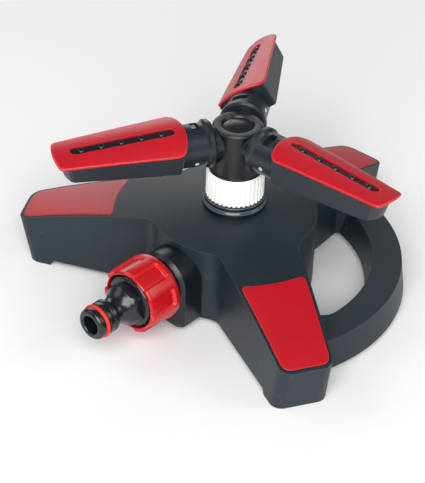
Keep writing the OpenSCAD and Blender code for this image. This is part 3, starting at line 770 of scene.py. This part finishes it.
DOME_RADIUS, DOME_MIDDLE, DOME_HALF = 16.8, 76.6, 7.3
CAP_RIM = [(7.52, 91.55), (7.6, 91.3), (7.6, 89.3), (7.5, 89.2), (0.0, 89.2)]
SPOT_OUT, SPOT_TURNS = 4, (71, 191, 311)
cap = bmesh.new()
angles = [math.asin(DOME_HALF / DOME_RADIUS) * step / 12 for step in range(13)]
dome = [(max(0.0, DOME_RADIUS * math.sin(a)), DOME_MIDDLE + DOME_RADIUS * math.cos(a)) for a in angles]
points = [cap.verts.new((r * MM, 0, z * MM)) for r, z in dome + CAP_RIM]
rim = [cap.edges.new(pair) for pair in zip(points, points[1:])]
bmesh.ops.spin(cap, geom=points + rim, cent=(0, 0, 0), axis=(0, 0, 1), angle=math.tau, steps=72,
               use_merge=True)
bmesh.ops.remove_doubles(cap, verts=cap.verts[:], dist=0.001 * MM)
for turn in SPOT_TURNS:
    spot = Vector((SPOT_OUT * math.cos(math.radians(turn)), SPOT_OUT * math.sin(math.radians(turn)), 0))
    high = DOME_MIDDLE + math.sqrt(DOME_RADIUS ** 2 - SPOT_OUT ** 2)
    turned_solid(cap, [(0.3, high - 0.3), (0.3, high - 0.02), (0.42, high + 0.1), (0.6, high + 0.08),
                       (0.7, high - 0.1), (0.7, high - 0.3)], 20, spot)
bmesh.ops.recalc_face_normals(cap, faces=cap.faces[:])
finished_piece(cap, "hub_cap_moulding", BLACK, body_of["hub_cap"], ["hub_cap"])
print("hub lid and cap made, spots:", len(SPOT_TURNS))

# %% [markdown]
# ## The collar and the lock ring
# The polished collar sits on the riser, and the white ring above it is turned by hand to lock the rotor.
# The ring has fine grip flutes all round, so its rounds are very small: a larger bevel would eat the flutes
# away. Both could be spun, but the flutes are already right in the frame, so both are rounded copies.

# %% Collar and lock ring
soften("riser_collar", POLISHED, 0.5, 3)
soften("lock_ring", WHITE, 0.15, 2)

# %% [markdown]
# ## The arms
# Each arm is a hollow box with a bearing neck, closed by a red cover with a long slot. In the slot lies a
# black strip with five small spray nozzles. All three arms are alike and differ only in where they point
# and how far they are tilted. They could be one mesh used three times. Here each shape is drawn once, in
# the arm's own axes, and then moved into its place, because every piece has to stay with the frame's
# origin.

# %% Arm outlines
ARM_TURN = {"left": 240.9, "back": 120.9, "right": 0.9}
ARM_TILT = {"left": 11.0, "back": 38.0, "right": 5.0}
ARM_HEIGHT = 84.4
COVER_START, COVER_END = 31.7, 91.8
HALF_HUB, HALF_TIP = 15.2, 9.7
RIDGE_HUB, RIDGE_TIP = 11.5, 7.8
BARREL = 31.0
SLOPE = math.atan((RIDGE_HUB - RIDGE_TIP) / (COVER_END - COVER_START))
SLOT_START, SLOT_END, SLOT_HALF, SLOT_MIDDLE = 33.15, 85.05, 2.55, 59.1
END_POINTS, SIDE_POINTS = 20, 24


def loop_of(hub_end, tip_end):
    """A closed loop from the hub end's path (from -y to +y) and the tip end's path (from +y to -y)."""
    return (along(hub_end, END_POINTS) + along([hub_end[-1], tip_end[0]], SIDE_POINTS)
            + along(tip_end, END_POINTS) + along([tip_end[-1], hub_end[0]], SIDE_POINTS))


def half_width(s):
    return HALF_HUB + (HALF_TIP - HALF_HUB) * (s - COVER_START) / (COVER_END - COVER_START)


def cover_end(s, out, half, bulge, corner):
    """One end of the cover, from -y to +y. out is -1 at the hub and 1 at the tip."""
    q = 1 - corner / half
    x, y = s + out * bulge * (1 - q * q), half * q
    back, wide = s - out * corner, half_width(s - out * corner)
    middle = [(s + out * bulge * (1 - (q * t / 8) ** 2), half * q * t / 8) for t in range(-7, 8)]
    return curve((back, -wide), (s, -half), (x, -y)) + middle + curve((x, y), (s, half), (back, wide))


def round_end(s, out, half):
    turns = [math.pi * (k / 16 - 0.5) for k in range(17)]
    return [(s + out * half * math.cos(t), half * math.sin(t)) for t in turns]


COVER_LOOP = loop_of(cover_end(COVER_START, -1, HALF_HUB, 3.8, 3.6),
                     cover_end(COVER_END, 1, HALF_TIP, 1.8, 1.8)[::-1])
SLOT_LOOP = loop_of(round_end(SLOT_START + SLOT_HALF, -1, SLOT_HALF),
                    round_end(SLOT_END - SLOT_HALF, 1, SLOT_HALF)[::-1])


def arm_place(side):
    turn = Matrix.Rotation(math.radians(ARM_TURN[side]), 4, "Z")
    tilt = Matrix.Rotation(math.radians(-ARM_TILT[side]), 4, "X")
    return turn @ Matrix.Translation((0, 0, ARM_HEIGHT * MM)) @ tilt


def ridge_place(side):
    """Where a shape drawn with its z = 0 on the cover's ridge line goes."""
    start = Matrix.Translation((COVER_START * MM, 0, RIDGE_HUB * MM))
    slope = Matrix.Rotation(SLOPE, 4, "Y")
    return arm_place(side) @ start @ slope @ Matrix.Translation((-COVER_START * MM, 0, 0))


def on_barrel(point, share):
    """A point of a loop raised onto the barrel shape. share is 1 on the outline and 0 at the slot."""
    x, y = point
    z = math.sqrt(BARREL ** 2 - y * y) - BARREL
    return (x + (COVER_START + (x - COVER_START - z * math.sin(SLOPE)) / math.cos(SLOPE) - x) * share, y, z)


print("points in a cover's outline:", len(COVER_LOOP))

# %% [markdown]
# ## The red covers
# A cover is a thin shell, curved like a barrel, that narrows to the tip and has a slot along its middle. It
# could be a bent plane with a hole cut by a boolean, but a cut leaves uneven faces round the slot. Here the
# loops go from the slot to the outline and are raised onto the barrel, so the slot's rim is clean. The
# outer rim gets a wide round that catches the light, and the slot's rim a narrow one.

# %% Red covers
COVER_RINGS, COVER_THICK = 7, 1.5
OUTER_ROUND, INNER_ROUND = 0.7, 0.25
SLOT_ZONE = (26.6, 3.2)


def red_cover(side):
    """A barrel-shaped shell between the slot and the outline."""
    flat = blend(SLOT_LOOP, COVER_LOOP, COVER_RINGS)
    bm = skin([[on_barrel(point, k / COVER_RINGS) for point in loop] for k, loop in enumerate(flat)])
    thicken(bm, COVER_THICK)

    def outer_rim(edge):
        middle = (edge.verts[0].co + edge.verts[1].co) / 2 / MM
        high = middle.z > math.sqrt(BARREL ** 2 - middle.y ** 2) - BARREL - 0.3
        return high and (abs(middle.y) > SLOT_ZONE[1] or abs(middle.x - SLOT_MIDDLE) > SLOT_ZONE[0])

    # Both rounds are marked, so the red finish paints them lighter: a painted highlight on the rims.
    round_edges(bm, OUTER_ROUND, 4, outer_rim)
    round_edges(bm, INNER_ROUND, 2, lambda e: True)
    bm.transform(ridge_place(side))
    node = "arm_cover_" + side
    finished_piece(bm, node + "_shell", RED, body_of[node], [node])


print("points round the slot:", len(SLOT_LOOP), "rings of a cover:", COVER_RINGS)

# %% [markdown]
# ## The spray strips
# The strip is a flat bar that fills the slot, with five small raised nozzles, each with a hole. The holes
# could be cut into the bar. It is simpler and looks the same to set five spun rings on it, each drawn as
# the outline of one nozzle's wall.

# %% Spray strips
STRIP_DEEP, STRIP_THICK, STRIP_ROUND = -1.1, 4.2, 0.3
NOZZLES, NOZZLE_FIRST, NOZZLE_STEP = 5, 39.8, 9.95
NOZZLE = [(0.6, -1.5), (0.6, -0.3), (0.7, 0.05), (0.95, 0.25), (1.3, 0.22), (1.65, -0.1), (1.9, -0.5),
          (2.05, -0.9), (2.1, -1.5)]


def spray_strip(side):
    """The bar in the slot, with its five turned nozzles."""
    loops = [[(SLOT_MIDDLE + (x - SLOT_MIDDLE) * long, y * wide, STRIP_DEEP) for x, y in SLOT_LOOP]
             for long, wide in ((0.9, 0.1), (0.999, 0.98))]
    bm = skin(loops, filled=True)
    thicken(bm, STRIP_THICK)
    round_edges(bm, STRIP_ROUND, 3, lambda e: min(v.co.z for v in e.verts) > -2 * MM)
    for nozzle in range(NOZZLES):
        turned_solid(bm, NOZZLE, 32, (NOZZLE_FIRST + NOZZLE_STEP * nozzle, 0, 0))
    bmesh.ops.recalc_face_normals(bm, faces=bm.faces[:])
    bm.transform(ridge_place(side))
    node = "nozzle_strip_" + side
    finished_piece(bm, node + "_turned", BLACK, body_of[node], [node])


print("nozzles on a strip:", NOZZLES)

# %% [markdown]
# ## The arm bodies, and the arms put together
# The body is the arm's box with its round neck, and a small latch closes the window in the neck. Both are
# rounded copies of the frame's pieces, since their shapes round well. The neck is darker and smoother than
# the box. It could be given a material of its own, but then the two would drift apart when one is changed.
# Its faces are marked instead, and the plastic reads that mark.

# %% The three arms
NECK_END = 31

for side in ARM_TURN:
    inverse = arm_place(side).inverted()
    soften("arm_body_" + side, DARK, 0.45, 3, polished=lambda co: (inverse @ co).x < NECK_END * MM)
    red_cover(side)
    spray_strip(side)
    soften("arm_latch_" + side, BLACK, 0.2, 2)

# %% [markdown]
# ## The union nut
# The nut is turned by hand, so it has seven deep grip panels. They could be cut into a spun ring with
# booleans. Their walls slope and their corners are round, which cuts don't give, so the nut is a closed
# skin: its loops go along the outside and back through the bore, and the outside ones dip into the panels.
# The slopes between panels and ribs carry the rounded-edge mark, so the finish paints them lighter: a
# painted highlight.

# %% Union nut
NUT_RADIUS, NUT_PANELS, NUT_REAR, NUT_TURN = 17.4, 7, 57.5, 12
PANEL_DEPTH, PANEL_HALF, PANEL_START, PANEL_CORNER, PANEL_SLOPE = 1.6, 3.3, 4.6, 1.4, 0.9
PERIOD = math.tau * NUT_RADIUS / NUT_PANELS
PANEL_STEPS = (0, 1.6, 3.0, 3.7, 4.1, 4.35, 4.6, 4.85, 5.1, 5.5, 6.2, 7.1)


def smooth_step(value):
    value = min(1.0, max(0.0, value))
    return value * value * (3 - 2 * value)


def nut_loop(out, outer, inside=None):
    """A loop round the nut at a distance out. Outside it dips into the seven grip panels."""
    offsets = sorted({side * step for step in PANEL_STEPS for side in (-1, 1)})
    made = []
    for panel in range(NUT_PANELS):
        for across in offsets:
            turn = math.tau * (panel + across / PERIOD) / NUT_PANELS + math.radians(NUT_TURN)
            radius = inside
            if inside is None:
                dx, dy = abs(across) - PANEL_HALF, NUT_REAR + PANEL_START - out
                inner = math.hypot(max(dx, 0), max(dy, 0)) - PANEL_CORNER + min(max(dx, dy), 0)
                radius = outer - PANEL_DEPTH * smooth_step(0.5 - inner / PANEL_SLOPE)
            made.append((radius * math.cos(turn), -out, INLET_HEIGHT + radius * math.sin(turn)))
    return made


# distance out and radius, along the outside and back along the bore
NUT_OUTSIDE = [(57.5, 16.6), (57.7, 17.1)] + [
    (out, NUT_RADIUS) for out in (58.2, 59.2, 60.0, 60.3, 60.6, 60.9, 61.2, 61.6, 62.4, 64.0, 68.0)] + [
    (72.0, 17.35), (74.4, 17.2), (75.3, 16.95), (75.8, 16.6), (76.0, 16.2)]
NUT_INSIDE = [(76.0, 14.9), (75.8, 14.65), (75.3, 14.6), (71.5, 14.6), (71.4, 15.2), (67.1, 15.2),
              (67.0, 13.25), (58.5, 13.25), (58.4, 15.2), (57.7, 15.3)]
nut = skin([nut_loop(out, radius) for out, radius in NUT_OUTSIDE]
           + [nut_loop(out, 0, radius) for out, radius in NUT_INSIDE], closed=True)
# The slopes of the ribs are painted lighter through the rounded-edge mark: a painted highlight.
rib_highlight_mark = nut.faces.layers.float.new("rounded_edge")
for face in nut.faces:
    middle = face.calc_center_median() / MM
    reach = math.hypot(middle.x, middle.z - INLET_HEIGHT)
    slope = abs(face.normal.dot(Vector((middle.x, 0, middle.z - INLET_HEIGHT)).normalized()))
    face[rib_highlight_mark] = 0.8 if reach > 15.9 and slope < 0.9 and middle.y < -58 else 0.0
finished_piece(nut, "union_nut_moulding", NUT_RED, body_of["union_nut"], ["union_nut"])
print("union nut made, grip panels:", NUT_PANELS)

# %% [markdown]
# ## The nipple
# A hose connector snaps onto the nipple. It is a turned shape, from the flange inside the nut over a narrow
# waist to the nose, with a groove for the O-ring. It could simply be spun. But behind the waist it has six
# flats for a spanner, so it is a skin too, and a loop in that stretch is cut down to the hexagon.

# %% Nipple
HEX_HALF, HEX_TURN, HEX_STRETCH = 10.5, 0.35, (76.1, 81.2)
# distance out and radius, along the outside and back along the bore
NIPPLE = [(68.2, 14.5), (68.3, 14.6), (71.1, 14.6), (71.3, 14.1), (73.7, 14.1), (73.9, 13.5), (74.7, 13.5),
          (75.4, 13.3), (76.0, 12.6), (76.3, 12.2), (77.4, 11.9), (79.4, 11.2), (80.9, 10.5), (81.5, 9.9),
          (82.4, 9.0), (83.6, 8.2), (85.0, 7.4), (86.6, 6.95), (88.2, 6.9), (89.2, 7.2), (89.9, 7.8),
          (90.3, 8.3), (90.6, 8.4), (92.2, 8.4), (92.5, 8.1), (92.9, 8.0), (93.2, 8.1), (93.5, 8.4),
          (95.5, 8.4), (95.8, 8.15),
          (95.85, 6.7), (98.35, 6.7), (98.4, 7.8), (98.7, 8.1), (100.2, 8.1), (101.0, 7.8), (101.6, 7.3),
          (101.9, 6.7), (102.0, 6.0), (101.9, 5.3), (101.5, 4.9), (100.9, 4.7), (76.0, 4.7), (75.9, 8.6),
          (68.3, 8.6), (68.2, 8.8)]


def nipple_loop(out, radius):
    """A loop round the nipple. Between its shoulder and its waist it has six flats for a spanner."""
    made = []
    for step in range(96):
        turn = math.tau * step / 96
        size = radius
        if HEX_STRETCH[0] < out < HEX_STRETCH[1]:
            size = min(radius, HEX_HALF / math.cos((turn + HEX_TURN) % (math.pi / 3) - math.pi / 6))
        made.append((size * math.cos(turn), -out, INLET_HEIGHT + size * math.sin(turn)))
    return made


nipple = skin([nipple_loop(out, radius) for out, radius in NIPPLE], closed=True)
finished_piece(nipple, "inlet_nipple_turned", POLISHED, body_of["inlet_nipple"], ["inlet_nipple"])
print("nipple made, loops:", len(NIPPLE))

# %% [markdown]
# ## What is carried over
# The inner pieces, the seals and the small pins are hidden or round, so rounding their edges would not
# show. They could be left in plain grey. But they come into view when the nut is undone, so they keep their
# frame mesh and get their own finish.

# %% Finishes of carried-over pieces
CARRIED = {
    "water_elbow": BLACK, "elbow_screws": STEEL, "bearing_washer": NATURAL, "rotor_stem": NATURAL,
    "stem_seals": RUBBER, "arm_seals": RUBBER, "nipple_oring": RING_RED, "inlet_washer": RUBBER,
    "filter_screen": NATURAL, "arm_pins_left": ZINC, "arm_pins_back": ZINC, "arm_pins_right": ZINC,
}
for node, material in CARRIED.items():
    for place in frame["nodes"][node].material_slots:
        place.material = material
print("carried over:", len(CARRIED))
